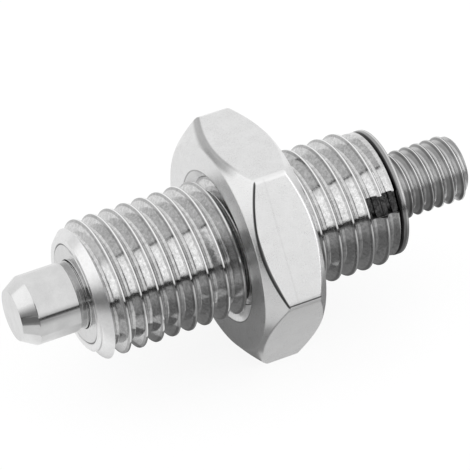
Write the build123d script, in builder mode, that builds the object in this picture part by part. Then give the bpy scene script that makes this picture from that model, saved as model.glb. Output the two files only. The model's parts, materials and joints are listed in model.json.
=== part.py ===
from build123d import *
from math import cos, radians, tan
import os

# Index plunger: a threaded guide sleeve with a sprung round pin and a lock nut.
#
# The axis lies along X. The origin is on the axis, in the plane of the sleeve's front face.
# The pin's nose points to -X and its pull stud to +X. One flat of the nut faces down (-Z),
# because the plunger rests on it. All lengths are in millimetres.

# guide sleeve, threaded M12 x 1.5 over its whole length
thread_diameter = 12.0
sleeve_length = 27.75
sleeve_wall = 1.675
lead_in = 1.1
bore_edge_break = 0.12
land_depth = 0.43
land_length = 0.65
land_edge_break = 0.22

# stake notch in the sleeve's rear edge
notch_width = 1.9
notch_length = 2.8
notch_depth = 0.9
notch_corner_radius = 0.25
notch_angle = 27.0

# plunger pin: nose, collar, stem and pull stud in one turned piece, the pin half as thick as
# the sleeve's thread
pin_diameter = thread_diameter / 2
nose_projection = 5.65
nose_cone_length = 1.3
nose_taper = 0.78
nose_relief_width = 0.62
nose_relief_depth = 0.18
nose_relief_setback = 0.08
collar_length = 2.0
collar_edge_break = 0.2
stem_diameter = pin_diameter
stud_diameter = 6.0
stud_projection = 7.2
stud_end_chamfer = 0.45
stud_relief_width = 0.7
stud_relief_depth = 0.55

# bushes pressed into the two ends of the sleeve
front_bush_length = 6.0
rear_spigot_length = 3.0
flange_diameter = 11.1
flange_thickness = 0.8
flange_front_break = 0.22
flange_rear_break = 0.18
spigot_lead_in = 0.3

# compression spring with ground ends, its round wire drawn with a few flat sides
spring_coils = 5
wire_sides = 5

# thin hexagon lock nut
nut_across_flats = 19.0
nut_corner_break = 0.11
nut_height = 5.65
nut_position = 13.03
nut_face_diameter = 18.24
nut_chamfer_angle = 38.0
nut_countersink_width = 0.65
nut_countersink_angle = 45.0

# fits and clearances
guide_clearance = 0.02
collar_seat_gap = 0.02
collar_clearance = 0.15
spring_clearance = 0.2125
nut_thread_clearance = 0.03

# radii and stations that follow from the sizes above
thread_radius = thread_diameter / 2
bore_radius = thread_radius - sleeve_wall
land_radius = thread_radius - land_depth
pin_radius = pin_diameter / 2
stem_radius = stem_diameter / 2
stud_radius = stud_diameter / 2
tip_radius = pin_radius - nose_taper
collar_radius = bore_radius - collar_clearance
flange_radius = flange_diameter / 2

land_start = sleeve_length - land_edge_break - land_length
collar_front = front_bush_length + collar_seat_gap
collar_rear = collar_front + collar_length
spring_seat = sleeve_length - rear_spigot_length
flange_rear = sleeve_length + flange_thickness
relief_rear = -nose_relief_setback
relief_front = relief_rear - nose_relief_width
stud_relief_front = flange_rear - stud_relief_width
stud_end = flange_rear + stud_projection

# guide sleeve: one turned tube
with BuildPart() as guide_sleeve:
    with BuildSketch(Plane.XZ):
        with BuildLine():
            Polyline(
                (0, bore_radius + bore_edge_break),
                (0, thread_radius - lead_in),
                (lead_in, thread_radius),
                (land_start - land_depth, thread_radius),
                (land_start, land_radius),
                (sleeve_length - land_edge_break, land_radius),
                (sleeve_length, land_radius - land_edge_break),
                (sleeve_length, bore_radius),
                (bore_edge_break, bore_radius),
                close=True,
            )
        make_face()
    revolve(axis=Axis.X)
    # the notch is a slot open to the rear, with rounded inner corners
    notch_plane = Plane(
        origin=(sleeve_length, 0, 0),
        x_dir=(1, 0, 0),
        z_dir=Vector(0, -1, 0).rotate(Axis.X, -notch_angle),
    )
    with BuildSketch(notch_plane.offset(thread_radius - notch_depth)):
        with Locations((-notch_length / 2, 0)):
            notch = Rectangle(notch_length, notch_width)
        fillet(notch.vertices().sort_by(Axis.X)[:2], notch_corner_radius)
    extrude(amount=notch_depth + land_edge_break, mode=Mode.SUBTRACT)

# front bush: guides the pin and stops its collar
with BuildPart() as front_bush:
    with BuildSketch(Plane.XZ):
        with BuildLine():
            Polyline(
                (0, pin_radius + guide_clearance),
                (0, bore_radius - bore_edge_break),
                (bore_edge_break, bore_radius),
                (front_bush_length, bore_radius),
                (front_bush_length, pin_radius + guide_clearance),
                close=True,
            )
        make_face()
    revolve(axis=Axis.X)

# rear bush: closes the sleeve, seats the spring and guides the stem
with BuildPart() as rear_bush:
    with BuildSketch(Plane.XZ):
        with BuildLine():
            Polyline(
                (spring_seat, stem_radius + guide_clearance),
                (spring_seat, bore_radius - spigot_lead_in),
                (spring_seat + spigot_lead_in, bore_radius),
                (sleeve_length, bore_radius),
                (sleeve_length, flange_radius - flange_front_break),
                (sleeve_length + flange_front_break, flange_radius),
                (flange_rear, flange_radius),
                (flange_rear, stem_radius + guide_clearance),
                close=True,
            )
        make_face()
    revolve(axis=Axis.X)
    rear_rim = rear_bush.edges().filter_by(GeomType.CIRCLE).group_by(Axis.X)[-1]
    chamfer(rear_rim.sort_by(SortBy.RADIUS)[-1], flange_rear_break)

# plunger pin: tapered nose, relief groove, collar, stem, thread relief and pull stud
with BuildPart() as plunger_pin:
    with BuildSketch(Plane.XZ):
        with BuildLine():
            Polyline(
                (-nose_projection, 0),
                (-nose_projection, tip_radius),
                (-nose_projection + nose_cone_length, pin_radius),
                (relief_front, pin_radius),
                (relief_front, pin_radius - nose_relief_depth),
                (relief_rear, pin_radius - nose_relief_depth),
                (relief_rear, pin_radius),
                (collar_front, pin_radius),
                (collar_front, collar_radius - collar_edge_break),
                (collar_front + collar_edge_break, collar_radius),
                (collar_rear - collar_edge_break, collar_radius),
                (collar_rear, collar_radius - collar_edge_break),
                (collar_rear, stem_radius),
                (stud_relief_front, stem_radius),
                (stud_relief_front, stud_radius - stud_relief_depth),
                (flange_rear, stud_radius - stud_relief_depth),
                (flange_rear, stud_radius),
                (stud_end - stud_end_chamfer, stud_radius),
                (stud_end, stud_radius - stud_end_chamfer),
                (stud_end, 0),
                close=True,
            )
        make_face()
    revolve(axis=Axis.X)

# spring: an open-coiled helix with both ends ground flat on its two seats
wire_radius = (bore_radius - stem_radius) / 2 - spring_clearance
coil_radius = bore_radius - spring_clearance - wire_radius
spring_length = spring_seat - collar_rear
with BuildPart() as spring:
    with BuildLine() as wire_path:
        coil = Helix(
            spring_length / spring_coils,
            spring_length,
            coil_radius,
            (collar_rear, 0, 0),
            (1, 0, 0),
        )
    with BuildSketch(coil ^ 0):
        RegularPolygon(wire_radius, wire_sides)
    sweep(path=coil, is_frenet=True)
    split(bisect_by=Plane.YZ.offset(collar_rear), keep=Keep.TOP)
    split(bisect_by=Plane.YZ.offset(spring_seat), keep=Keep.BOTTOM)

# lock nut: hexagon with its corners and both faces turned, and both mouths countersunk
nut_rear = nut_position + nut_height
nut_corner_radius = nut_across_flats / 2 / cos(radians(30)) - nut_corner_break
nut_face_radius = nut_face_diameter / 2
nut_bore_radius = thread_radius + nut_thread_clearance
cone_depth = (nut_corner_radius - nut_face_radius) * tan(radians(nut_chamfer_angle))
countersink_radius = thread_radius + nut_countersink_width
countersink_depth = (countersink_radius - nut_bore_radius) / tan(radians(nut_countersink_angle))
with BuildPart() as lock_nut:
    with BuildSketch(Plane.YZ.offset(nut_position)):
        RegularPolygon(nut_across_flats / 2, 6, major_radius=False)
    extrude(amount=nut_height)
    with BuildSketch(Plane.XZ):
        with BuildLine():
            Polyline(
                (nut_position, countersink_radius),
                (nut_position, nut_face_radius),
                (nut_position + cone_depth, nut_corner_radius),
                (nut_rear - cone_depth, nut_corner_radius),
                (nut_rear, nut_face_radius),
                (nut_rear, countersink_radius),
                (nut_rear - countersink_depth, nut_bore_radius),
                (nut_position + countersink_depth, nut_bore_radius),
                close=True,
            )
        make_face()
    revolve(axis=Axis.X, mode=Mode.INTERSECT)

guide_sleeve.part.label = "guide_sleeve"
front_bush.part.label = "front_bush"
rear_bush.part.label = "rear_bush"
plunger_pin.part.label = "plunger_pin"
spring.part.label = "spring"
lock_nut.part.label = "lock_nut"

os.makedirs("parts", exist_ok=True)
export_step(guide_sleeve.part, "parts/guide_sleeve.step")
export_step(front_bush.part, "parts/front_bush.step")
export_step(rear_bush.part, "parts/rear_bush.step")
export_step(plunger_pin.part, "parts/plunger_pin.step")
export_step(spring.part, "parts/spring.step")
export_step(lock_nut.part, "parts/lock_nut.step")
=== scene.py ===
import json
import math

import bpy
from bpy.props import FloatProperty, FloatVectorProperty, IntProperty, PointerProperty
from bpy.types import Operator, Panel, PropertyGroup
from mathutils import Matrix, Vector


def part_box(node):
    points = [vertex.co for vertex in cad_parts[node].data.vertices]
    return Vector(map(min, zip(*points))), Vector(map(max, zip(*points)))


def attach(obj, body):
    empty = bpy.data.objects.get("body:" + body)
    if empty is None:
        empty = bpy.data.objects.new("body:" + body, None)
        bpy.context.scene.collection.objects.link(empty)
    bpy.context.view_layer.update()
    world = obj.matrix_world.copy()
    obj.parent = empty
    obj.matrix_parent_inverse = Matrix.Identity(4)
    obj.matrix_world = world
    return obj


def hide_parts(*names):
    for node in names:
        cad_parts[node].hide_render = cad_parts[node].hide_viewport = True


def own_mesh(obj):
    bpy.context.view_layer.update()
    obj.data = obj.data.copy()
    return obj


# Index plunger: a threaded guide sleeve, its two bushes, a sprung pin with a threaded stud,
# and a lock nut. The axis lies along X, the nose points to -X, and all sizes are in metres.
# Angles round the axis are counted from -Y, the near side, towards +Z.

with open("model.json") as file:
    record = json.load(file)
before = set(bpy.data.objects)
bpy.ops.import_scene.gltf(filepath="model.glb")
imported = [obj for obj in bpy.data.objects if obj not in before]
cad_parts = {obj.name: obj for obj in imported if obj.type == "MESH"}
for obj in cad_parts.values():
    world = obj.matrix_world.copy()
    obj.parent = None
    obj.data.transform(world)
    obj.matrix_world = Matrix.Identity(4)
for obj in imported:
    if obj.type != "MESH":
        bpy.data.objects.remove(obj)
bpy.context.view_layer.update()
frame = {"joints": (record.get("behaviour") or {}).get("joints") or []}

bl_info = {
    "name": "Index Plunger",
    "version": (1, 0, 0),
    "blender": (4, 5, 0),
    "location": "3D View > Sidebar > Plunger",
    "description": "Builds an index plunger with its threads, its finishes and a small studio",
    "category": "Object",
}

MM = 0.001
FULL_TURN = 2 * math.pi
SLEEVE_LOW, SLEEVE_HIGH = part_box("guide_sleeve")
NUT_LOW, NUT_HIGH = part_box("lock_nut")
PIN_LOW, PIN_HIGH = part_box("plunger_pin")
RING_LOW, RING_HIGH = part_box("rear_bush")
SPRING_LOW, SPRING_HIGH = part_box("spring")

BORE_BREAK = 0.12 * MM  # chamfer between the front bush and the sleeve
GUIDE_RADIUS = 3.02 * MM  # bore of the bushes
WELD = 1e-7
OUTSIDE = 12 * MM  # farther from the axis than any surface
BEFORE = -1 * MM  # in front of the sleeve
LEAD_TURNS = 1.5  # a thread blank's turns ahead of the part, so that its closed end stays outside
STUD_LEAD_TURNS = 2.6
SPARE_TURNS = 3  # past the part's other end
STUDIO_MIDDLE = 15 * MM
DOME = 250 * MM  # the softboxes' distance from the studio's middle


def length(description, millimetres):
    """A size, given here in millimetres and kept in metres."""
    size = dict(default=millimetres * MM, unit="LENGTH", precision=6, step=0.001)
    return FloatProperty(description=description, **size)


def angle(description, degrees):
    """An angle that the panel shows in degrees."""
    return FloatProperty(description=description, default=math.radians(degrees), unit="ROTATION")


def number(description, default, **limits):
    """A plain number."""
    return FloatProperty(description=description, default=default, **limits)


def share(description, default):
    """A plain number from 0 to 1."""
    return number(description, default, min=0, max=1)


def facets(default):
    """A count of facets round the axis."""
    return IntProperty(description="Facets round the axis", default=default, min=12)


def grey_of(description, level):
    """A colour in the panel, grey until someone changes it."""
    return FloatVectorProperty(
        description=description, default=(level,) * 3, size=3, min=0, max=1, subtype="COLOR"
    )


class PlungerSleeveSizes(PropertyGroup):
    """Sizes of the threaded guide sleeve"""

    sleeve_length: length("Front face to rear face", SLEEVE_HIGH.x / MM)
    crest_radius: length("Axis to the thread's crests", 5.95)
    pitch: length("One turn of the thread", 1.5)
    depth: length("Crest to root of the thread", 0.93)
    crest_width: length("Flat on a crest, along the axis", 0.17)
    root_width: length("Flat in a root, along the axis", 0.25)
    crest_rounding: length("Radius on a crest's edges", 0.04)
    root_rounding: length("Radius in a root's corners", 0.06)
    crest_station: length("A crest's place along the axis at the crest angle", 2.12)
    crest_angle: angle("Where round the axis the crest station is read", 38)
    lead_in: length("Front chamfer, along the axis", 1.1)
    land_radius: length("Radius of the plain land at the rear", 5.57)
    land_start: length("Where the land begins", 26.88)
    bore_radius: length("Radius of the bore that holds the bushes", 4.325)
    edge_break: length("Chamfer on the rear edge", 0.22)
    notch_width: length("Stake notch, across", 1.9)
    notch_length: length("Stake notch, along the axis", 2.8)
    notch_depth: length("Stake notch, below the crests", 0.9)
    notch_angle: angle("Where the stake notch is round the axis", 25.4)
    segments: facets(144)


class PlungerPinSizes(PropertyGroup):
    """Sizes of the plunger pin and its threaded stud"""

    tip: length("Front end of the nose, on the axis", PIN_LOW.x / MM)
    end: length("Rear end of the stud, on the axis", PIN_HIGH.x / MM)
    radius: length("Radius of the smooth nose", 3.0)
    cone_length: length("Tapered part of the nose", 1.3)
    tip_radius: length("Radius of the flat on the tip", 2.22)
    relief_start: length("Front edge of the groove beside the bush", -0.7)
    relief_end: length("Rear edge of the groove beside the bush", -0.08)
    relief_depth: length("Depth of the groove beside the bush", 0.18)
    collar_length: length("Collar inside the sleeve, along the axis", 2)
    collar_radius: length("Radius of the collar", 4.175)
    collar_break: length("Chamfer on the collar's edges", 0.2)
    neck_length: length("Thread relief in front of the stud", 0.7)
    crest_radius: length("Axis to the stud thread's crests", 2.95)
    pitch: length("One turn of the stud's thread", 1.0)
    depth: length("Crest to root of the stud's thread", 0.58)
    crest_width: length("Flat on a crest, along the axis", 0.13)
    root_width: length("Flat in a root, along the axis", 0.2)
    crest_rounding: length("Radius on a crest's edges", 0.04)
    root_rounding: length("Radius in a root's corners", 0.07)
    crest_station: length("A crest's place along the axis at the crest angle", 32.02)
    crest_angle: angle("Where round the axis the crest station is read", 38.6)
    end_chamfer: length("Chamfer on the stud's end", 0.45)
    segments: facets(112)


class PlungerNutSizes(PropertyGroup):
    """Sizes of the hexagon lock nut"""

    front: length("Where the nut's front face is", NUT_LOW.x / MM)
    rear: length("Where the nut's rear face is", NUT_HIGH.x / MM)
    across_flats: length("Distance between two flats", (NUT_HIGH.z - NUT_LOW.z) / MM)
    corner_radius: length("Radius that the six corners are turned to", NUT_HIGH.y / MM)
    face_radius: length("Radius of the round washer face", 9.12)
    face_rounding: length("Radius between a face and its cone", 0.22)
    side_rounding: length("Radius between a cone and the flats", 0.3)
    cone_angle: angle("Slope of the chamfer against the face", 38)
    countersink_radius: length("Radius of a mouth", 6.65)
    minor_radius: length("Radius inside the nut's thread", 5.3)
    play: length("Room between the two threads", 0.04)
    segments: facets(144)


class PlungerSpringSizes(PropertyGroup):
    """Sizes of the compression spring"""

    wire_radius: length("Radius of the round wire", 0.45)
    coil_radius: length("Axis to the middle of the wire", 3.6625)
    coils: number("Turns from seat to seat", 5.0, min=1)


class PlungerFinishes(PropertyGroup):
    """Base colours and roughness of the metals"""

    thread_colour: grey_of("Steel of the threaded sleeve", 0.7)
    pin_colour: grey_of("Ground steel of the pin", 0.71)
    nut_colour: grey_of("Satin steel of the nut", 0.77)
    bush_colour: grey_of("Turned steel of the bushes", 0.65)
    spring_colour: grey_of("Drawn wire", 0.5)
    thread_roughness: share("Roughness of the flanks", 0.1)
    stud_shade: share("How much darker the stud's thread is than the pin", 0.22)
    pin_roughness: share("Roughness of the pin", 0.12)
    nut_roughness: share("Roughness of the flats", 0.3)
    bush_roughness: share("Roughness of the bushes", 0.2)
    spring_roughness: share("Roughness of the wire", 0.3)


class PlungerStage(PropertyGroup):
    """Camera, floor and light cards"""

    azimuth: angle("Camera's turn about the vertical", -23.4)
    elevation: angle("Camera's height above the horizon", 36.13)
    roll: angle("Camera's turn about its own line of sight", -4.31)
    distance: length("Camera to its target", 287.9)
    lens: number("Focal length in millimetres", 262.54)
    target_x: length("Target's place along the axis", 14.77)
    target_rise: length("Target above the axis in the picture", 0.431)
    floor_colour: grey_of("Pale floor", 0.82)
    room_level: number("Brightness of the white room", 0.95)
    right_level: number("Brightness of the right softbox", 1.95)
    left_level: number("Brightness of the left softbox", 1.2)


def settings(context, *names):
    """The scene's property groups of these names."""
    return [getattr(context.scene, "plunger_" + name) for name in names]


def socket_name(word):
    """The socket that a keyword stands for: crest_radius is Crest Radius."""
    return word.replace("_", " ").title()


class Wire:
    """A node's output. Sums are written with it, and it gives its node's other outputs by name."""

    def __init__(self, sheet, socket):
        self.sheet, self.socket = sheet, socket

    def __getattr__(self, name):
        return Wire(self.sheet, self.socket.node.outputs[socket_name(name)])

    def __add__(self, other):
        return self.sheet.math("ADD", self, other)

    def __sub__(self, other):
        return self.sheet.math("SUBTRACT", self, other)

    def __rsub__(self, other):
        return self.sheet.math("SUBTRACT", other, self)

    def __mul__(self, other):
        return self.sheet.math("MULTIPLY", self, other)

    def __truediv__(self, other):
        return self.sheet.math("DIVIDE", self, other)

    def __rtruediv__(self, other):
        return self.sheet.math("DIVIDE", other, self)


class Sheet:
    """A node tree, filled one node at a time."""

    def __init__(self, tree):
        self.tree = tree

    @classmethod
    def group(cls, name, kind, outputs, inputs):
        """A new node group. An input's default, or the kind of socket it names, sets its kind."""
        tree = bpy.data.node_groups.new(name, kind)
        for word, default in inputs.items():
            socket = {int: "Int", float: "Float"}.get(type(default), default)
            item = tree.interface.new_socket(
                socket_name(word), in_out="INPUT", socket_type="NodeSocket" + socket
            )
            if socket != default:
                item.default_value = default
        socket = "Geometry" if kind == "GeometryNodeTree" else "Float"
        for word in outputs:
            tree.interface.new_socket(
                socket_name(word), in_out="OUTPUT", socket_type="NodeSocket" + socket
            )
        sheet = cls(tree)
        sheet.given = Wire(sheet, tree.nodes.new("NodeGroupInput").outputs[0])
        sheet.result = tree.nodes.new("NodeGroupOutput").inputs
        return sheet

    def put(self, kind, options=None, *values, **inputs):
        """A new node with its options, and its inputs in order or by name. Gives its first output.

        A kind of the tree's own family is named without that family.
        """
        family = "GeometryNode" if self.tree.type == "GEOMETRY" else "ShaderNode"
        node = self.tree.nodes.new(kind if "Node" in kind else family + kind)
        for key, value in (options or {}).items():
            setattr(node, key, value)
        for place, value in enumerate(values):
            self.feed(node.inputs[place], value)
        for word, value in inputs.items():
            self.feed(node.inputs[socket_name(word)], value)
        return Wire(self, node.outputs[0]) if node.outputs else None

    def feed(self, socket, value):
        """Joins or sets one input."""
        if isinstance(value, Wire):
            self.tree.links.new(value.socket, socket)
        else:
            socket.default_value = value

    def nest(self, word, **inputs):
        """Another group, placed in this tree."""
        return self.put("Group", dict(node_tree=node_group(word)), **inputs)

    def own(self, *words):
        """The group's own inputs of these names, to hand to a nested group."""
        return {word: getattr(self.given, word) for word in words}

    def done(self, **results):
        """Hands over the group's results and gives back its tree."""
        for word, value in results.items():
            self.feed(self.result[socket_name(word)], value)
        return self.tree

    def math(self, operation, *values, clamp=False):
        """One sum on one, two or three numbers."""
        return self.put("ShaderNodeMath", dict(operation=operation, use_clamp=clamp), *values)

    def most(self, first, *others):
        """The largest of some numbers."""
        for other in others:
            first = self.math("MAXIMUM", first, other)
        return first

    def vector(self, x, y, z):
        """A vector from three numbers."""
        return self.put("ShaderNodeCombineXYZ", None, x, y, z)

    def point_on_object(self):
        """Where the shaded point is on its object."""
        return self.put("ShaderNodeSeparateXYZ", None, self.put("TexCoord").object)

    def mix(self, mask, first, second, data_type="FLOAT"):
        """One number or colour turning into another with a mask."""
        return self.put("Mix", dict(data_type=data_type), factor=mask, a=first, b=second).result

    def between(self, value, low, high, value_low=0.3, value_high=0.7):
        """A number that follows another from low to high."""
        return self.put(
            "MapRange", value=value, from_min=value_low, from_max=value_high, to_min=low, to_max=high
        )

    def light_path(self):
        """The kind of ray that meets the surface."""
        return self.put("LightPath")


def shape_group(name, **inputs):
    """A new geometry group that gives a mesh: its sheet, its inputs and its way to add nodes."""
    sheet = Sheet.group(name, "GeometryNodeTree", ["mesh"], inputs)
    return sheet, sheet.given, sheet.put


def at_place(sheet, mesh, x, y, z, **selection):
    """A mesh with its points set to a place."""
    position = sheet.vector(x, y, z)
    return sheet.put("SetPosition", geometry=mesh, position=position, **selection)


def shifted(sheet, mesh, x, turn=0.0):
    """A mesh moved along the axis, after a turn round it."""
    move, tilt = sheet.vector(x, 0.0, 0.0), sheet.vector(turn, 0.0, 0.0)
    return sheet.put("Transform", geometry=mesh, translation=move, rotation=tilt)


def welded(sheet, mesh):
    """A mesh whose doubled points are one."""
    return sheet.put("MergeByDistance", geometry=mesh, distance=WELD)


def listed(sheet, index, *values):
    """A number that an index picks from a short list."""
    first = sheet.put("IndexSwitch", dict(data_type="FLOAT"))
    node = first.socket.node
    while len(node.index_switch_items) < len(values):
        node.index_switch_items.new()
    for place, value in enumerate((index, *values)):
        sheet.feed(node.inputs[place], value)
    return Wire(sheet, node.outputs[0])


def boolean(sheet, operation, first, second):
    """Joins, cuts or intersects two closed meshes."""
    into = "mesh_1" if operation == "DIFFERENCE" else "mesh_2"
    options = dict(operation=operation, solver="MANIFOLD")
    result = sheet.put("MeshBoolean", options, **{into: first})
    sheet.feed(result.socket.node.inputs["Mesh 2"], second)
    return result


def finished(sheet, mesh):
    """Ends the group of a part: its mesh gets its finish."""
    return sheet.done(mesh=sheet.nest("finish", mesh=mesh, **sheet.own(*FINISH_INPUTS)))


THREAD_INPUTS = dict(
    pitch=1.5 * MM, crest_radius=6 * MM, depth=0.85 * MM, crest_width=0.2 * MM, root_width=0.36 * MM,
    crest_rounding=0.05 * MM, root_rounding=0.08 * MM, start=0.0, turns=10, segments=96,
)
FINISH_INPUTS = dict(crease_angle=math.radians(33), material="Material")


def round_sweep_group():
    """Sweeps an outline round the axis, straight or along a right-hand helix, and welds it."""
    sheet, given, put = shape_group(
        "Round Sweep", outline="Geometry", points=2, closed=1, periods=1, pitch=0.0, start=0.0,
        segments=96,
    )
    around = given.segments + 1
    columns = given.points * given.periods + given.closed
    grid = put("MeshGrid", vertices_x=columns, vertices_y=around)
    index = put("InputIndex")
    column = sheet.math("FLOOR", (index + 0.25) / around)
    spoke = index - column * around
    period = sheet.math("FLOOR", (column + 0.25) / given.points)
    sample = put(
        "SampleIndex", dict(data_type="FLOAT_VECTOR", domain="POINT"), geometry=given.outline,
        value=put("InputPosition"), index=column - period * given.points,
    )
    place = put("ShaderNodeSeparateXYZ", None, sample)
    turn = spoke / given.segments
    theta = sheet.math("FRACT", turn) * FULL_TURN
    x = given.start + place.x + (period - turn) * given.pitch
    y = place.z * sheet.math("COSINE", theta) * -1
    z = place.z * sheet.math("SINE", theta)
    return sheet.done(mesh=welded(sheet, at_place(sheet, grid, x, y, z)))


def turned_group():
    """A turned body: the object's outline swept round the axis."""
    sheet, given, put = shape_group("Turned Body", outline="Geometry", closed=1, segments=96)
    size = put("AttributeDomainSize", dict(component="MESH"), geometry=given.outline)
    own = sheet.own("outline", "closed", "segments")
    return sheet.done(mesh=sheet.nest("sweep", points=size.point_count, **own))


def thread_blank_group():
    """A long right-hand screw thread with closed ends, from its pitch, flats and roundings."""
    sheet, given, put = shape_group("Thread Blank", **THREAD_INPUTS)
    pitch, crest, root = given.pitch, given.crest_width, given.root_width
    half_root = root * 0.5
    rise = half_root + (pitch - crest - root) * 0.5
    high, low = given.crest_radius, given.crest_radius - given.depth
    convex, hollow = given.crest_rounding, given.root_rounding
    index = put("InputIndex")
    stations = listed(sheet, index, 0.0, half_root, rise, rise + crest, pitch - half_root, pitch)
    radii = listed(sheet, index, low, low, high, high, low, low)
    roundings = listed(sheet, index, 0.0, hollow, convex, convex, hollow, 0.0)
    line = put("MeshLine", count=6)
    curve = put("MeshToCurve", mesh=at_place(sheet, line, stations, 0.0, radii))
    profile = put("FilletCurve", dict(mode="POLY"), curve=curve, count=3, radius=roundings)
    size = put("AttributeDomainSize", dict(component="CURVE"), geometry=profile)
    sweep = sheet.nest(
        "sweep", outline=profile, points=size.point_count - 1, periods=given.turns,
        **sheet.own("pitch", "start", "segments"),
    )
    faces = put("InputMeshEdgeNeighbors")
    rim = put("FunctionNodeCompare", dict(data_type="INT", operation="EQUAL"), a=faces, b=1)
    skirt = put("ExtrudeMesh", dict(mode="EDGES"), mesh=sweep, selection=rim, offset_scale=0.0)
    here = put("ShaderNodeSeparateXYZ", None, put("InputPosition"))
    span = given.turns * pitch
    is_rear = sheet.math("GREATER_THAN", here.x, given.start + span * 0.5)
    hub = given.start - pitch * 0.5 + is_rear * span
    drawn = at_place(sheet, skirt.mesh, hub, 0.0, 0.0, selection=skirt.top)
    return sheet.done(mesh=welded(sheet, drawn))


def finish_group():
    """Shades a mesh smooth up to an angle, gives it its material and hands it on in millimetres."""
    sheet, given, put = shape_group("Finish Mesh", mesh="Geometry", **FINISH_INPUTS)
    realized = put("RealizeInstances", geometry=given.mesh)
    smooth = put("SetShadeSmooth", dict(domain="FACE"), geometry=realized, shade_smooth=True)
    crease = sheet.math("GREATER_THAN", put("InputMeshEdgeAngle"), given.crease_angle)
    sharp = put(
        "SetShadeSmooth", dict(domain="EDGE"), geometry=smooth, selection=crease, shade_smooth=False,
    )
    dressed = put("SetMaterial", geometry=sharp, material=given.material)
    return sheet.done(mesh=put("Transform", geometry=dressed, scale=(1 / MM,) * 3))


def threaded_sleeve_group():
    """The guide sleeve: its turned outline, its thread and the stake notch."""
    sheet, given, put = shape_group(
        "Threaded Sleeve", outline="Geometry", **THREAD_INPUTS, notch_length=2.8 * MM,
        notch_width=1.9 * MM, notch_corner=0.25 * MM, notch_floor=5.1 * MM, notch_end=27.75 * MM,
        notch_angle=0.47, **FINISH_INPUTS,
    )
    turned = sheet.nest("turned", **sheet.own("outline", "segments"))
    blank = sheet.nest("thread", **sheet.own(*THREAD_INPUTS))
    threaded = boolean(sheet, "INTERSECT", turned, blank)
    slot = put("CurvePrimitiveQuadrilateral", width=given.notch_length, height=given.notch_width)
    soft = put("FilletCurve", dict(mode="POLY"), curve=slot, count=5, radius=given.notch_corner)
    floor, over = sheet.vector(0.0, 0.0, given.notch_floor), (0.0, 0.0, 8 * MM)
    line = put("CurvePrimitiveLine", start=floor, end=over)
    cutter = put("CurveToMesh", curve=line, profile_curve=soft, fill_caps=True)
    middle = given.notch_end - given.notch_length * 0.5
    placed = shifted(sheet, cutter, middle, math.pi / 2 - given.notch_angle)
    return finished(sheet, boolean(sheet, "DIFFERENCE", threaded, placed))


def threaded_pin_group():
    """The plunger pin: its turned outline, with the thread only behind the plain part."""
    sheet, given, put = shape_group(
        "Threaded Pin", outline="Geometry", **THREAD_INPUTS, plain_to=28.3 * MM, **FINISH_INPUTS
    )
    own = sheet.own("outline", "segments")
    turned = sheet.nest("turned", closed=0, **own)
    blank = sheet.nest("thread", **sheet.own(*THREAD_INPUTS))
    reach, width = 60 * MM, 20 * MM  # more than the pin in each direction
    plain = put("MeshCube", size=(reach, width, width))
    stock = boolean(sheet, "UNION", shifted(sheet, plain, given.plain_to - reach / 2), blank)
    return finished(sheet, boolean(sheet, "INTERSECT", turned, stock))


def tapped_nut_group():
    """The lock nut: the hexagon blank with the sleeve's thread cut out of it."""
    sheet = shape_group("Tapped Nut", blank="Geometry", **THREAD_INPUTS, **FINISH_INPUTS)[0]
    tap = sheet.nest("thread", **sheet.own(*THREAD_INPUTS))
    return finished(sheet, boolean(sheet, "DIFFERENCE", sheet.given.blank, tap))


def turned_part_group():
    """A plain turned part with its finish."""
    sheet = shape_group("Turned Part", outline="Geometry", segments=96, **FINISH_INPUTS)[0]
    own = sheet.own("outline", "segments")
    return finished(sheet, sheet.nest("turned", **own))


def coil_spring_group():
    """A round-wire compression spring of even pitch, ground flat on its two seats."""
    sheet, given, put = shape_group(
        "Coil Spring", geometry="Geometry", wire_radius=0.45 * MM, coil_radius=3.66 * MM,
        front_seat=8 * MM, rear_seat=25 * MM, coils=5.0, steps=48, **FINISH_INPUTS,
    )
    front, rear, radius = given.front_seat, given.rear_seat, given.coil_radius
    steps = given.coils * given.steps
    line = put("MeshLine", count=steps + 1)
    index = put("InputIndex")
    theta = index / given.steps * -FULL_TURN
    x = front + (rear - front) * (index / steps)
    y = radius * sheet.math("COSINE", theta) * -1
    z = radius * sheet.math("SINE", theta)
    path = put("MeshToCurve", mesh=at_place(sheet, line, x, y, z))
    section = put("CurvePrimitiveCircle", resolution=16, radius=given.wire_radius)
    tube = put("CurveToMesh", curve=path, profile_curve=section, fill_caps=True)
    here = put("ShaderNodeSeparateXYZ", None, put("InputPosition"))
    ground = sheet.math("MINIMUM", sheet.math("MAXIMUM", here.x, front), rear)
    return finished(sheet, at_place(sheet, tube, ground, here.y, here.z))


def rounded(points, steps=4):
    """An outline of (x, r) and (x, r, radius) points, with an arc at each point with a radius."""
    result = []
    for place, point in enumerate(points):
        here = Vector(point[:2])
        radius = point[2] if len(point) > 2 else 0
        if not radius:
            result.append(here)
            continue
        before = (Vector(points[place - 1][:2]) - here).normalized()
        after = (Vector(points[(place + 1) % len(points)][:2]) - here).normalized()
        half = before.angle(after) / 2
        centre = here + (before + after).normalized() * radius / math.sin(half)
        start = here + before * radius / math.tan(half) - centre
        sweep = math.pi - 2 * half
        if start.x * after.y - start.y * after.x < 0:
            sweep = -sweep
        for step in range(steps + 1):
            turned = Matrix.Rotation(sweep * step / steps, 2) @ start
            result.append(centre + turned)
    return result


def linked_object(name, mesh):
    """An object in the scene's own collection."""
    obj = bpy.data.objects.new(name, mesh)
    bpy.context.scene.collection.objects.link(obj)
    return obj


def outline_object(name, points):
    """An object whose mesh is just the outline's points, at radius Z over X."""
    mesh = bpy.data.meshes.new(name)
    mesh.from_pydata([(x, 0, r) for x, r in points], [], [])
    return linked_object(name, mesh)


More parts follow.
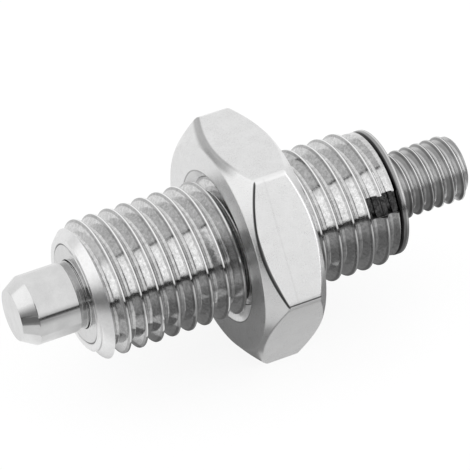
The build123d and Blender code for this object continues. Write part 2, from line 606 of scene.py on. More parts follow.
def plain_mesh(obj, tree, **sizes):
    """Runs the tree on the object, evens its normals, and keeps the result as a plain mesh.

    The normals are weighted in millimetres, because the weights of smaller faces fall to nothing.
    """
    modifier = obj.modifiers.new("Shape", "NODES")
    modifier.node_group = tree
    inputs = {socket_name(word): value for word, value in sizes.items()}
    for item in tree.interface.items_tree:
        if item.in_out == "INPUT" and item.name in inputs:
            modifier[item.identifier] = inputs.pop(item.name)
    if inputs:
        raise RuntimeError(f"{tree.name} has no input for {sorted(inputs)}")
    even = obj.modifiers.new("Even Normals", "WEIGHTED_NORMAL")
    even.keep_sharp = True
    graph = bpy.context.evaluated_depsgraph_get()
    mesh = bpy.data.meshes.new_from_object(obj.evaluated_get(graph), depsgraph=graph)
    if not mesh.polygons:
        raise RuntimeError(f"{tree.name} made no faces for {obj.name}")
    mesh.transform(Matrix.Scale(MM, 4))
    obj.modifiers.clear()
    obj.data = mesh
    mesh.name = obj.name
    return obj


def crest_at(sizes):
    """A crest's place along the axis on the near side, where angles start."""
    return sizes.crest_station + sizes.crest_angle / FULL_TURN * sizes.pitch


def thread_inputs(sizes, start, end, play=0.0):
    """The thread blank's inputs, to reach past both ends.

    With play, the blank is wider all round, to cut a nut's thread.
    """
    turns_back = math.floor((crest_at(sizes) - start) / sizes.pitch)
    return {
        "pitch": sizes.pitch,
        "crest_radius": sizes.crest_radius + play,
        "depth": sizes.depth + play,
        "crest_width": sizes.crest_width + 2 * play,
        "root_width": sizes.root_width - 2 * play,
        "crest_rounding": sizes.crest_rounding,
        "root_rounding": sizes.root_rounding,
        "start": crest_at(sizes) - (turns_back + 0.5) * sizes.pitch,
        "turns": math.ceil((end - start) / sizes.pitch) + SPARE_TURNS,
    }


def shade_group(name, outputs, **inputs):
    """A new shader group: its sheet and its inputs."""
    sheet = Sheet.group(name, "ShaderNodeTree", outputs, inputs)
    return sheet, sheet.given


def place_group():
    """Where a point is in relation to the axis: along it, away from it and round it."""
    sheet = shade_group("Axis Place", ["along", "radius", "around"])[0]
    here = sheet.point_on_object()
    radius = sheet.math("SQRT", here.y * here.y + here.z * here.z)
    around = sheet.math("ARCTAN2", here.z, here.y * -1)
    return sheet.done(along=here.x, radius=radius, around=around)


def turning_group():
    """Fine lines left by a turning tool, all the way round, broken up a little along their length."""
    sheet, given = shade_group("Turning Marks", ["marks"], line_spacing=0.05 * MM, line_length=4 * MM)
    here, where = sheet.point_on_object(), sheet.nest("place")
    along, out = where.along / given.line_spacing, where.radius / given.line_spacing
    noise = sheet.put(
        "TexNoise", dict(noise_dimensions="4D"),
        vector=sheet.vector(along, out, here.y / given.line_length), w=here.z / given.line_length,
        scale=1.0, detail=2.0,
    )
    return sheet.done(marks=noise.fac)


def mottle_group():
    """Faint patches and a fine grain, for metal that was tumbled or pickled."""
    sheet, given = shade_group(
        "Steel Mottle", ["mottle"], patch_size=0.5 * MM, grain_size=0.05 * MM, grain_share=0.5
    )
    here = sheet.put("TexCoord").object
    patches, grain = (
        sheet.put("TexNoise", vector=here, scale=1.0 / size, detail=detail).fac
        for size, detail in ((given.patch_size, 3.0), (given.grain_size, 2.0))
    )
    return sheet.done(mottle=sheet.mix(given.grain_share, patches, grain))


def rim_group():
    """A mask that rises from 0 to 1 at a radius, for crests and rims that are worn bright and carry a
    painted highlight.
    """
    sheet, given = shade_group("Bright Rim", ["mask"], radius=6 * MM, fade=0.05 * MM)
    past = (sheet.nest("place").radius - given.radius) / given.fade
    return sheet.done(mask=sheet.math("ADD", past, 0.0, clamp=True))


def phase_group():
    """Where a point is within one turn of a right-hand thread: 0.5 in the middle of a crest."""
    sheet, given = shade_group("Thread Phase", ["phase"], pitch=1.5 * MM, crest_at=0.0)
    where = sheet.nest("place")
    turns = (where.along - given.crest_at) / given.pitch + where.around / FULL_TURN
    return sheet.done(phase=sheet.math("FRACT", turns + 0.5))


def band_group():
    """A mask that is 1 while a value lies between two limits, with soft edges."""
    sheet, given = shade_group("Band", ["mask"], value=0.0, low=0.0, high=1.0, fade=0.1)
    above = (given.value - given.low) / given.fade
    below = (given.high - given.value) / given.fade
    inside = sheet.math("MINIMUM", above, below)
    return sheet.done(mask=sheet.math("ADD", inside, 0.5, clamp=True))


def across_group():
    """How far a point lies to the side of a plane through the axis, and how far out along it."""
    sheet, given = shade_group("Across Place", ["across", "outward"], angle=0.0)
    here = sheet.point_on_object()
    sine, cosine = sheet.math("SINE", given.angle), sheet.math("COSINE", given.angle)
    return sheet.done(across=here.y * sine + here.z * cosine, outward=here.z * sine - here.y * cosine)


MAKERS = {
    "sweep": round_sweep_group,
    "turned": turned_group,
    "thread": thread_blank_group,
    "finish": finish_group,
    "sleeve": threaded_sleeve_group,
    "pin": threaded_pin_group,
    "nut": tapped_nut_group,
    "part": turned_part_group,
    "spring": coil_spring_group,
    "place": place_group,
    "turning": turning_group,
    "mottle": mottle_group,
    "rim": rim_group,
    "phase": phase_group,
    "band": band_group,
    "across": across_group,
}
MADE = {}


def node_group(word):
    """One of the node groups, built on its first use."""
    if word not in MADE:
        MADE[word] = MAKERS[word]()
    return MADE[word]


def grey(level):
    """An opaque grey."""
    return (level, level, level, 1.0)


def empty_tree(owner):
    """The node tree of a material or a world, with nothing in it."""
    owner.use_nodes = True
    owner.node_tree.nodes.clear()
    return owner.node_tree


class Steel(Sheet):
    """A steel material: its own colour, tones laid over it, roughness and bump."""

    def __init__(self, name, colour, roughness):
        self.material = bpy.data.materials.new(name)
        super().__init__(empty_tree(self.material))
        self.colour, self.roughness = tuple(colour), roughness
        self.where = self.nest("place")

    def mottle(self, patch, grain, grain_share):
        """The mottle mask at these sizes."""
        return self.nest("mottle", patch_size=patch, grain_size=grain, grain_share=grain_share)

    def marks(self, spacing, line):
        """The turning marks at this spacing."""
        return self.nest("turning", line_spacing=spacing, line_length=line)

    def band(self, value, low, high, fade):
        """The mask of a value between two limits."""
        return self.nest("band", value=value, low=low, high=high, fade=fade)

    def along(self, low, high, fade):
        """The mask of a stretch of the axis."""
        return self.band(self.where.along, low, high, fade)

    def rim(self, radius, fade):
        """The mask of a bright rim."""
        return self.nest("rim", radius=radius, fade=fade)

    def side(self, degrees):
        """A point's place against the plane through the axis at this angle."""
        return self.nest("across", angle=math.radians(degrees))

    def shaded(self, mask, low, high, *limits):
        """The steel's colour, darker or lighter with a mask."""
        amount = self.between(mask, low, high, *limits)
        return self.put("VectorMath", dict(operation="SCALE"), self.colour, scale=amount)

    def tone(self, mask, colour):
        """Lays a colour, or a level of grey, over the base where a mask is."""
        colour = grey(colour) if isinstance(colour, float) else colour
        self.base = self.mix(mask, self.base, colour, "RGBA")

    def crest_lines(self, sizes, where, behind, before, fades):
        """Painted shade lines behind and before each crest, which only the camera sees.

        Each has two limits of the thread's phase, counted from the crest's edge, and its share.
        """
        place = self.nest("phase", pitch=sizes.pitch, crest_at=crest_at(sizes))
        half = sizes.crest_width / sizes.pitch / 2
        rear = self.band(place, behind[0] + half, behind[1] + half, fades[0]) * behind[2]
        front = self.band(place, before[0] - half, before[1] - half, fades[1]) * before[2]
        self.tone(self.most(rear, front) * where * self.light_path().is_camera_ray, LINE)

    def bump(self, height, strength, depth, **below):
        """A bump from a height mask, on top of another one if given."""
        return self.put("Bump", height=height, strength=strength, distance=depth, **below)

    def rough(self, mask, less, more):
        """The steel's roughness, less and more with a mask."""
        return self.between(mask, self.roughness - less, self.roughness + more)

    def finish(self, roughness, normal):
        """Joins the three channels to the shader."""
        shader = self.put(
            "BsdfPrincipled", metallic=1.0, base_color=self.base, roughness=roughness, normal=normal,
        )
        self.put("OutputMaterial", surface=shader)
        return self.material


# tones: painted shade lines, painted shade in grooves and bands with one faint scratch, painted shade
# in the gaps between two pieces, and the dark stake notch
LINE = 0.03
GROOVE = 0.1
JOINT = 0.04
HOLLOW = 0.02


def thread_steel(finishes, sleeve):
    """Rolled thread: mottled flanks, crests worn bright with a painted highlight, painted shade
    beside each crest and in the two joints, and the notch painted dark.
    """
    steel = Steel("threaded_steel", finishes.thread_colour, finishes.thread_roughness)
    end, half = sleeve.sleeve_length, sleeve.notch_width / 2
    mottle = steel.mottle(0.3 * MM, 0.07 * MM, 0.5)
    marks = steel.marks(0.04 * MM, 1.5 * MM)
    steel.base = steel.shaded(mottle, 0.7, 1.14, 0.35, 0.65)
    # Lightened crests: worn bright, and partly a painted highlight.
    steel.tone(steel.rim(sleeve.crest_radius - 0.03 * MM, 0.03 * MM), 0.92)
    threaded = steel.along(sleeve.lead_in, sleeve.land_start, 0.1 * MM)
    # Painted shade beside each crest, for the camera only.
    steel.crest_lines(sleeve, threaded, (0.485, 0.55, 0.92), (0.42, 0.515, 0.36), (0.02, 0.02))
    # The stake notch is painted dark.
    side = steel.side(math.degrees(sleeve.notch_angle))
    notch = (
        steel.along(end - sleeve.notch_length, end, 0.06 * MM)
        * steel.band(side.across, -half, half, 0.06 * MM)
        * steel.band(side.outward, 0.0, OUTSIDE, 0.1 * MM)
        * steel.between(mottle, 1.0, 0.86, 0.4, 0.65)
    )
    # Painted shade in the rear joint to the bush and round the front joint at the bore.
    joint = steel.along(end - 0.1 * MM, end + 1 * MM, 0.04 * MM)
    mouth = steel.band(steel.where.radius, 0.0, sleeve.bore_radius + 0.05 * MM, 0.04 * MM)
    front_joint = steel.along(BEFORE, 0.3 * MM, 0.04 * MM) * mouth * 0.8
    chamfer = steel.along(BEFORE, sleeve.lead_in, 0.1 * MM)
    steel.tone(chamfer * 0.7, 0.88)
    steel.tone(steel.most(notch, joint, front_joint), HOLLOW)
    rough = steel.mix(chamfer, steel.rough(mottle, 0.04, 0.05), 0.3)
    flank_bump = steel.bump(mottle, 0.2, 0.008 * MM)
    return steel.finish(rough, steel.bump(marks, 0.12, 0.002 * MM, normal=flank_bump))


def pin_steel(finishes, sizes):
    """Ground pin: even satin with fine lines round it, and a darker thread on the stud."""
    steel = Steel("ground_steel", finishes.pin_colour, finishes.pin_roughness)
    mottle = steel.mottle(1.2 * MM, 0.05 * MM, 0.5)
    marks = steel.marks(0.02 * MM, 3 * MM)
    steel.base = steel.shaded(mottle, 0.88, 1.08)
    # Painted shade in the relief groove beside the bush.
    relief = steel.along(sizes.relief_start - 0.02 * MM, sizes.relief_end + 0.02 * MM, 0.06 * MM)
    steel.tone(relief * 0.4, GROOVE)
    stud = steel.along(RING_HIGH.x - 0.1 * MM, 1.0, 0.05 * MM)
    shade = finishes.stud_shade
    steel.tone(stud, steel.shaded(mottle, 0.9 - shade, 1.1 - shade))
    # Lightened stud crests: worn bright, and partly a painted highlight; painted shade beside each
    # crest.
    steel.tone(steel.rim(sizes.crest_radius - 0.02 * MM, 0.02 * MM) * stud, 0.86)
    steel.crest_lines(sizes, stud, (0.44, 0.56, 0.85), (0.36, 0.47, 0.51), (0.03, 0.04))
    rough = steel.mix(stud, steel.rough(marks, 0.04, 0.05), 0.3)
    return steel.finish(rough, steel.bump(marks, 0.2, 0.002 * MM))


def nut_steel(finishes, sizes):
    """Nut: satin flats with a fine grain, corners worn bright with a painted highlight, and painted
    shade along one flat's rolled edge, along the top flat's edge and round the mouths.
    """
    steel = Steel("nut_steel", finishes.nut_colour, finishes.nut_roughness)
    along, radius, band = steel.where.along, steel.where.radius, steel.band
    mottle = steel.mottle(1.0 * MM, 0.06 * MM, 0.7)
    steel.base = steel.shaded(mottle, 0.88, 1.1)
    # Corners lightened: worn bright, and partly a painted highlight.
    rubbed = steel.rim(sizes.corner_radius - 0.06 * MM, 0.03 * MM)
    steel.tone(rubbed, 0.87)
    flat, mouth = sizes.across_flats / 2, sizes.countersink_radius
    corner = math.sqrt(sizes.corner_radius**2 - flat**2)
    ahead = (along - sizes.front) / math.tan(sizes.cone_angle)
    inland = ahead + sizes.face_radius - radius
    # Painted shade along the near flat's rolled edge and along its lower edge.
    near = steel.side(30)
    near_flat = band(near.outward, flat - 0.1 * MM, OUTSIDE, 0.05 * MM)
    width = band(near.across / corner, -0.8, 0.1, 0.3) * (0.12 * MM) + 0.16 * MM
    rolled = band(inland, -0.05 * MM, width, 0.08 * MM)
    lower = band(near.across, -corner - 0.06 * MM, -corner + 0.05 * MM, 0.03 * MM)
    steel.tone(steel.most(near_flat * rolled, near_flat * lower) * 0.88, LINE)
    scratch = band(along, 15.22 * MM, 15.36 * MM, 0.08 * MM)
    steel.tone(near_flat * scratch * 0.08, GROOVE)
    # Painted shade in a band where the top flat meets the cone, and round each mouth.
    top = steel.side(90)
    upper = (
        band(top.outward, flat - 0.5 * MM, OUTSIDE, 0.3 * MM)
        * band(top.across, -3 * MM, 7 * MM, 1.5 * MM)
        * band(inland, -0.3 * MM, 0.3 * MM, 0.2 * MM)
        * 0.5
    )
    ring = band(radius, mouth - 0.04 * MM, mouth + 0.08 * MM, 0.04 * MM) * 0.6
    steel.tone(steel.most(upper, ring), GROOVE)
    rough = steel.mix(rubbed, steel.rough(mottle, 0.06, 0.06), 0.5)
    return steel.finish(rough, steel.bump(mottle, 0.4, 0.008 * MM))


def bush_steel(finishes, sleeve):
    """Bushes: fine turned steel, with painted shade in the two joints to the sleeve, the ring greyer.
    """
    steel = Steel("turned_steel", finishes.bush_colour, finishes.bush_roughness)
    end, bore = sleeve.sleeve_length, sleeve.bore_radius
    mottle = steel.mottle(0.8 * MM, 0.05 * MM, 0.5)
    marks = steel.marks(0.03 * MM, 2 * MM)
    steel.base = steel.shaded(mottle, 0.94, 1.06)
    ring = steel.along(end, end + 2 * MM, 0.04 * MM)
    bright = steel.along(end + 0.42 * MM, end + 0.56 * MM, 0.06 * MM)
    steel.tone(ring * (1.0 - bright) * 0.6, 0.12)
    # Painted shade in the rear joint and round the front joint at the bore.
    joint = steel.along(end - 0.1 * MM, end + 0.17 * MM, 0.06 * MM)
    edge = steel.band(steel.where.radius, bore - 0.05 * MM, bore + 1 * MM, 0.04 * MM)
    front_joint = steel.along(BEFORE, 0.3 * MM, 0.04 * MM) * edge * 0.8
    steel.tone(steel.most(joint, front_joint), JOINT)
    return steel.finish(steel.rough(marks, 0.04, 0.06), steel.bump(marks, 0.2, 0.003 * MM))


def spring_steel(finishes):
    """Drawn wire: darker, with a faint mottle."""
    steel = Steel("spring_steel", finishes.spring_colour, finishes.spring_roughness)
    mottle = steel.mottle(0.5 * MM, 0.05 * MM, 0.4)
    steel.base = steel.shaded(mottle, 0.9, 1.08)
    return steel.finish(steel.rough(mottle, 0.05, 0.08), steel.bump(mottle, 0.2, 0.003 * MM))


def handed_over(obj, body, node):
    """Gives a finished piece to its body, in place of its CAD node."""
    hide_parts(node)
    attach(obj, body)


class PLUNGER_OT_guide_sleeve(Operator):
    """Build the threaded guide sleeve"""

    bl_idname = "plunger.guide_sleeve"
    bl_label = "Guide Sleeve"

    def execute(self, context):
        sizes, finishes = settings(context, "sleeve", "finishes")
        clear, soft = sizes.crest_radius + 0.05 * MM, 0.04 * MM
        end, bore, land = sizes.sleeve_length, sizes.bore_radius, sizes.land_radius
        outline = [
            (0.0, bore + BORE_BREAK),
            (0.0, clear - sizes.lead_in, soft),
            (sizes.lead_in, clear),
            (sizes.land_start - (clear - land), clear),
            (sizes.land_start, land, soft),
            (end - sizes.edge_break, land, soft),
            (end, land - sizes.edge_break),
            (end, bore),
            (BORE_BREAK, bore),
        ]
        obj = plain_mesh(
            outline_object("sleeve_threaded", rounded(outline)), node_group("sleeve"),
            **thread_inputs(sizes, SLEEVE_LOW.x - LEAD_TURNS * sizes.pitch, end),
            notch_length=sizes.notch_length, notch_width=sizes.notch_width,
            notch_floor=clear - sizes.notch_depth, notch_end=end, notch_angle=sizes.notch_angle,
            segments=sizes.segments, material=thread_steel(finishes, sizes),
        )
        handed_over(obj, "guide", "guide_sleeve")
        return {"FINISHED"}


class PLUNGER_OT_bushes(Operator):
    """Build the front bush and the rear bush with its ring"""

    bl_idname = "plunger.bushes"
    bl_label = "Bushes"

    def execute(self, context):
        sleeve, finishes = settings(context, "sleeve", "finishes")
        bore, end, guide = sleeve.bore_radius, sleeve.sleeve_length, GUIDE_RADIUS
        front_end, spigot_break = 6 * MM, 0.3 * MM
        seat, ring, ring_end, ring_break = RING_LOW.x, RING_HIGH.y, RING_HIGH.x, 0.22 * MM
        front = [
            (0.0, guide, 0.04 * MM),
            (0.0, bore - BORE_BREAK),
            (BORE_BREAK, bore),
            (front_end, bore),
            (front_end, guide),
        ]
        rear = [
            (seat, guide),
            (seat, bore - spigot_break),
            (seat + spigot_break, bore),
            (end, bore),
            (end, ring - ring_break),
            (end + ring_break, ring, 0.06 * MM),
            (ring_end, ring, 0.2 * MM),
            (ring_end, guide, 0.06 * MM),
        ]
        material = bush_steel(finishes, sleeve)
        for name, node, outline in (
            ("bush_front", "front_bush", front),
            ("bush_rear", "rear_bush", rear),
        ):
            obj = plain_mesh(
                outline_object(name, rounded(outline)), node_group("part"), segments=sleeve.segments,
                material=material,
            )
            handed_over(obj, "guide", node)
        return {"FINISHED"}


class PLUNGER_OT_pin(Operator):
    """Build the plunger pin with its nose, collar and threaded stud"""

    bl_idname = "plunger.pin"
    bl_label = "Plunger Pin"

    def execute(self, context):
        sizes, finishes = settings(context, "pin", "finishes")
        tip, end, radius, chamfer = sizes.tip, sizes.end, sizes.radius, sizes.end_chamfer
        clear = sizes.crest_radius + 0.04 * MM
        groove = radius - sizes.relief_depth
        ring_end = RING_HIGH.x
        neck, neck_radius = ring_end - sizes.neck_length, sizes.crest_radius - sizes.depth - 0.02 * MM
        collar, edge, high = SPRING_LOW.x, sizes.collar_break, sizes.collar_radius
        collar_front = collar - sizes.collar_length
        outline = [
            (tip, 0.0),
            (tip, sizes.tip_radius, 0.1 * MM),
            (tip + sizes.cone_length, radius, 0.2 * MM),
            (sizes.relief_start, radius, 0.05 * MM),
            (sizes.relief_start, groove, 0.06 * MM),
            (sizes.relief_end, groove, 0.06 * MM),
            (sizes.relief_end, radius, 0.04 * MM),
            (collar_front, radius),
            (collar_front, high - edge),
            (collar_front + edge, high),
            (collar - edge, high),
            (collar, high - edge),
            (collar, radius),
            (neck, radius),
            (neck, neck_radius),
            (ring_end, neck_radius),
            (ring_end + 0.25 * MM, clear),
            (end - chamfer, clear),
            (end, clear - chamfer, 0.05 * MM),
            (end, 0.0),
        ]
        obj = plain_mesh(
            outline_object("pin_turned", rounded(outline)), node_group("pin"),
            **thread_inputs(sizes, ring_end - STUD_LEAD_TURNS * sizes.pitch, end),
            plain_to=ring_end - 0.1 * MM, segments=sizes.segments,
            material=pin_steel(finishes, sizes),
        )
        handed_over(obj, "plunger", "plunger_pin")
        return {"FINISHED"}


class PLUNGER_OT_spring(Operator):
    """Build the compression spring"""

    bl_idname = "plunger.spring"
    bl_label = "Spring"

    def execute(self, context):
        sizes, finishes = settings(context, "spring", "finishes")
        obj = plain_mesh(
            outline_object("spring_wound", [(0.0, 0.0)]), node_group("spring"),
            wire_radius=sizes.wire_radius, coil_radius=sizes.coil_radius, front_seat=SPRING_LOW.x,
            rear_seat=SPRING_HIGH.x, coils=sizes.coils, material=spring_steel(finishes),
        )
        handed_over(obj, "guide", "spring")
        joint = next(joint for joint in frame["joints"] if joint["name"] == "plunger_slide")
        stroke = joint["range_m"][1]
        room = SPRING_HIGH.x - SPRING_LOW.x
        (room - stroke) / room
        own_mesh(obj)
        return {"FINISHED"}


def hexagon_reach(off, flat, corner):
    """Axis to a hexagon's side at an angle from its corner, with the corner turned and eased."""
    sharp = flat / math.cos(math.pi / 6 - off)
    ease = 0.03 * MM
    return min(sharp, corner) - ease * math.log1p(math.exp(-abs(sharp - corner) / ease))


def nut_spokes(steps=16, crowding=2.2):
    """Angles round the nut and from the nearest corner, closer together towards the six corners."""
    sixth = math.pi / 3
    offs = [sixth / 2 * (step / steps) ** crowding for step in range(steps + 1)]
    side = [(off, off) for off in offs] + [(sixth - off, off) for off in reversed(offs[1:-1])]
    return [(corner * sixth + turn, off) for corner in range(6) for turn, off in side]


def nut_blank(sizes):
    """The nut before it is tapped: each spoke's section is rounded where cones and sides meet."""
    front, rear, face, mouth = sizes.front, sizes.rear, sizes.face_radius, sizes.countersink_radius
    bore, face_ease, side_ease = sizes.minor_radius, sizes.face_rounding, sizes.side_rounding
    sink, mouth_ease = mouth - bore, 0.05 * MM
    rings = []
    for turn, off in nut_spokes():
        reach = hexagon_reach(off, sizes.across_flats / 2, sizes.corner_radius)
        cone = (reach - face) * math.tan(sizes.cone_angle)
        section = [
            (front, mouth, mouth_ease),
            (front, face, face_ease),
            (front + cone, reach, side_ease),
            (rear - cone, reach, side_ease),
            (rear, face, face_ease),
            (rear, mouth, mouth_ease),
            (rear - sink, bore),
            (front + sink, bore),
        ]
        ring = rounded(section, steps=5)
        rings.append([(x, -r * math.cos(turn), r * math.sin(turn)) for x, r in ring])
    count = len(rings[0])
    faces = []
    for spoke in range(len(rings)):
        this, following = spoke * count, (spoke + 1) % len(rings) * count
        for place in range(count):
            after = (place + 1) % count
            faces.append((this + place, this + after, following + after, following + place))
    mesh = bpy.data.meshes.new("nut_blank")
    mesh.from_pydata([point for ring in rings for point in ring], [], faces)
    return mesh


class PLUNGER_OT_lock_nut(Operator):
    """Build the hexagon lock nut with its thread"""

    bl_idname = "plunger.lock_nut"
    bl_label = "Lock Nut"

    def execute(self, context):
        sizes, sleeve, finishes = settings(context, "nut", "sleeve", "finishes")
        obj = plain_mesh(
            linked_object("nut_tapped", nut_blank(sizes)), node_group("nut"),
            **thread_inputs(sleeve, sizes.front - LEAD_TURNS * sleeve.pitch, sizes.rear, sizes.play),
            segments=sizes.segments, material=nut_steel(finishes, sizes),
        )
        handed_over(obj, "nut", "lock_nut")
        return {"FINISHED"}


WHITE = grey(1.0)


def glow(name, level, far_level=None, near=0, far=1, centre=None, axis=(0, 1, 0)):
    """A lit card: even, or changing with the millimetres from a centre, or along an axis."""
    material = bpy.data.materials.new(name)
    sheet = Sheet(empty_tree(material))
    strength = level
    if far_level is not None:
        here = sheet.put("TexCoord").object
        if centre is None:
            along = sheet.put("VectorMath", dict(operation="DOT_PRODUCT"), here, axis)
            offset = sheet.math("ABSOLUTE", along.value)
        else:
            offset = sheet.put("VectorMath", dict(operation="DISTANCE"), here, centre).value
        strength = sheet.between(offset, level, far_level, near * MM, far * MM)
    light = sheet.put("Emission", color=WHITE, strength=strength)
    sheet.put("OutputMaterial", surface=light)
    return material


def pale_paper(base):
    """The floor: white paper to the camera and in metal, with a faint share of the shadow."""
    material = bpy.data.materials.new("pale_paper")
    sheet = Sheet(empty_tree(material))
    path = sheet.light_path()
    seen = sheet.most(path.is_camera_ray, path.is_glossy_ray, path.is_transmission_ray)
    paper = sheet.put("BsdfDiffuse", color=(*base, 1.0))
    dim = sheet.put("BsdfDiffuse", color=grey(0.15))
    lift = sheet.put("Emission", color=WHITE, strength=0.87)
    lifted = sheet.put("AddShader", None, dim, lift)
    mixed = sheet.put("MixShader", None, seen, paper, lifted)
    sheet.put("OutputMaterial", surface=mixed)
    return material


def white_world(level):
    """A plain white room."""
    world = bpy.data.worlds.new("white_room")
    sheet = Sheet(empty_tree(world))
    room = sheet.put("Background", color=WHITE, strength=level)
    sheet.put("OutputWorld", surface=room)
    bpy.context.scene.world = world


def stage_sheet(name, material, rows):
    """A sheet through rows of points, which belongs to the studio and not to the plunger."""
    width = len(rows[0])
    corners = [row * width + place for row in range(len(rows) - 1) for place in range(width - 1)]
    faces = [(low, low + 1, low + width + 1, low + width) for low in corners]
    mesh = bpy.data.meshes.new(name)
    mesh.from_pydata([point for row in rows for point in row], [], faces)
    mesh.materials.append(material)
    obj = linked_object(name, mesh)
    return obj


def mirrored_only(obj):
    """Keeps a card out of the picture and off the floor, so that only the metal shows it."""
    obj.visible_camera = False
    obj.visible_diffuse = False
    obj.visible_shadow = False


def steps_between(ends, steps):
    """Evenly spaced numbers from one end to the other."""
    return [ends[0] + (ends[1] - ends[0]) * (step / steps) for step in range(steps + 1)]


def on_dome(reach, polar, sweep):
    """A point round the studio's middle: polar from +X, sweep round X as on the parts, in degrees."""
    polar, sweep = math.radians(polar), math.radians(sweep)
    ring = reach * math.sin(polar)
    return (STUDIO_MIDDLE + reach * math.cos(polar), -ring * math.cos(sweep), ring * math.sin(sweep))


def dome_patch(name, material, reach, polars, sweeps, steps=8):
    """A curved card between two polar angles and two sweeps."""
    rows = [
        [on_dome(reach, polar, sweep) for polar in steps_between(polars, steps)]
        for sweep in steps_between(sweeps, steps)
    ]
    return stage_sheet(name, material, rows)


def floor_card(name, material, xs, ys, rise):
    """A card that lies just above the floor, in millimetres."""
    z = NUT_LOW.z + rise * MM
    mirrored_only(stage_sheet(name, material, [[(x * MM, y * MM, z) for x in xs] for y in ys]))


def low_wall(name, material, radius, bearings, top, steps=12):
    """A low curved wall on the floor, in millimetres. Bearings are counted from -X towards -Y."""
    rows = [
        [
            (
                STUDIO_MIDDLE - radius * MM * math.cos(math.radians(bearing)),
                -radius * MM * math.sin(math.radians(bearing)),
                z,
            )
            for bearing in steps_between(bearings, steps)
        ]
        for z in (NUT_LOW.z, top * MM)
    ]
    mirrored_only(stage_sheet(name, material, rows))


def camera_at(stage):
    """The camera, from its angles round the target and its roll."""
    az, el, roll = stage.azimuth, stage.elevation, stage.roll
    back = Vector((math.sin(az) * math.cos(el), -math.cos(az) * math.cos(el), math.sin(el)))
    right = Vector((math.cos(az), math.sin(az), 0))
    up = back.cross(right)
    target = Vector((stage.target_x, 0, 0)) + up * stage.target_rise
    rolled_right = right * math.cos(roll) + up * math.sin(roll)
    rolled_up = up * math.cos(roll) - right * math.sin(roll)
    data = bpy.data.cameras.new("camera")
    data.sensor_width = 36
    data.lens = stage.lens
    data.clip_start = 0.01
    camera = linked_object("camera", data)
    place = target + back * stage.distance
    turn = Matrix((rolled_right, rolled_up, back)).transposed()
    camera.matrix_world = Matrix.LocRotScale(place, turn, None)
    bpy.context.scene.camera = camera


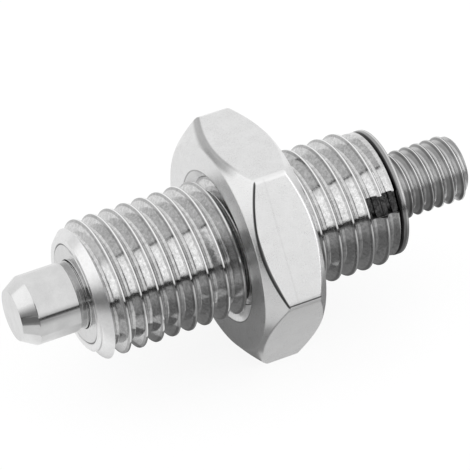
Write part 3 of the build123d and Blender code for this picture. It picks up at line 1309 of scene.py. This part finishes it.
class PLUNGER_OT_stage(Operator):
    """Set up the floor, the softboxes, the cards, the walls and the camera"""

    bl_idname = "plunger.stage"
    bl_label = "Stage"

    def execute(self, context):
        (stage,) = settings(context, "stage")
        wide = 200 * MM
        ground = [[(x, y, NUT_LOW.z) for x in (-wide, wide)] for y in (-wide, wide)]
        stage_sheet("floor", pale_paper(stage.floor_colour), ground)
        right, left = stage.right_level, stage.left_level
        black, grey_card = glow("black_card", 0.02), glow("grey_card", 0.24)
        right_glow = glow("right_glow", right, 0.75 * right, 90, 200, on_dome(DOME, 46, 36))
        left_glow = glow("left_glow", left, 0.22 * left, 112, 208, on_dome(DOME, 139, 102))
        for name, light, polars, sweeps in (
            ("right_softbox", right_glow, (30, 60), (-1, 83)),
            ("left_softbox", left_glow, (116, 180), (6, 140)),
            ("left_softbox_edge", left_glow, (126, 180), (140, 174)),
        ):
            dome_patch(name, light, DOME, polars, sweeps, 12).visible_camera = False
        mirrored_only(dome_patch("top_flag", black, DOME - 1 * MM, (28, 62), (84, 88)))
        mirrored_only(dome_patch("camera_flag", black, 200 * MM, (96, 115), (8, 50)))
        # Dark cards on the floor under the plunger, seen only in the metal: a painted shadow of the
        # floor beneath it.
        under_front = glow("under_front", 0.2, 0.9, 56, 62, (60 * MM, 0, 0))
        for card in (
            ("under_card", glow("under_card", 0.2, 0.9, 7, 18), (3, 34), (-8, 18), 0.1),
            ("under_front", under_front, (-3, 3), (-8, 18), 0.1),
            ("front_card", glow("front_card", 0.74, 0.14, 18, 58), (-60, 150), (-150, -6.3), 0.12),
            ("left_card", glow("left_grey", 0.22), (-70, -8), (-90, -22), 0.2),
            ("behind_card", glow("behind_grey", 0.92), (-60, 14), (4, 120), 0.12),
            ("right_card", glow("pale_card", 0.24, 0.5, 12, 24), (9, 80), (-70, -12), 0.2),
            # Grey cards on the floor close beside the plunger, seen only in the metal: painted shadow
            # of the near floor.
            ("low_card", glow("low_grey", 0.6), (13, 22), (-12, -5), 0.16),
            ("right_card_front", grey_card, (8, 13), (-12, -3), 0.2),
            ("right_card_rear", grey_card, (22, 37), (-12, -3), 0.2),
        ):
            floor_card(*card)
        haze = glow("haze", 0.62, 0.95, 7, 42, axis=(0, 0, 1))
        for wall in (
            ("far_wall", black, 150, (16, 170), 7, 36),
            ("haze_wall", haze, 152, (92, 126), 42),
            ("right_wall", glow("dim_card", 0.08), 80, (122, 150), -1),
            ("left_wall", black, 60, (10, 32), 8),
            ("left_wall_near", glow("left_dim", 0.17), 60, (32, 60), 4),
        ):
            low_wall(*wall)
        white_world(stage.room_level)
        context.scene.view_settings.view_transform = "Standard"
        camera_at(stage)
        return {"FINISHED"}


class PLUNGER_PT_panel(Panel):
    """The plunger's pieces and sizes"""

    bl_idname = "PLUNGER_PT_panel"
    bl_label = "Index Plunger"
    bl_space_type = "VIEW_3D"
    bl_region_type = "UI"
    bl_category = "Plunger"

    def draw(self, context):
        for step in STEPS:
            self.layout.operator(step.bl_idname, text=step.bl_label)
        for name, group in GROUPS.items():
            box = self.layout.box()
            box.label(text=group.__doc__)
            for item in group.__annotations__:
                box.prop(getattr(context.scene, name), item, text=socket_name(item))


GROUPS = {
    "plunger_sleeve": PlungerSleeveSizes,
    "plunger_pin": PlungerPinSizes,
    "plunger_nut": PlungerNutSizes,
    "plunger_spring": PlungerSpringSizes,
    "plunger_finishes": PlungerFinishes,
    "plunger_stage": PlungerStage,
}
STEPS = [
    PLUNGER_OT_guide_sleeve,
    PLUNGER_OT_bushes,
    PLUNGER_OT_pin,
    PLUNGER_OT_spring,
    PLUNGER_OT_lock_nut,
    PLUNGER_OT_stage,
]


CLASSES = (*GROUPS.values(), *STEPS, PLUNGER_PT_panel)


def register():
    for item in CLASSES:
        bpy.utils.register_class(item)
    for name, group in GROUPS.items():
        setattr(bpy.types.Scene, name, PointerProperty(type=group))


def unregister():
    for name in GROUPS:
        delattr(bpy.types.Scene, name)
    for item in reversed(CLASSES):
        bpy.utils.unregister_class(item)


def main():
    """Builds every piece and the stage."""
    register()
    bpy.ops.plunger.guide_sleeve()
    bpy.ops.plunger.bushes()
    bpy.ops.plunger.pin()
    bpy.ops.plunger.spring()
    bpy.ops.plunger.lock_nut()
    bpy.ops.plunger.stage()


if __name__ == "__main__":
    main()
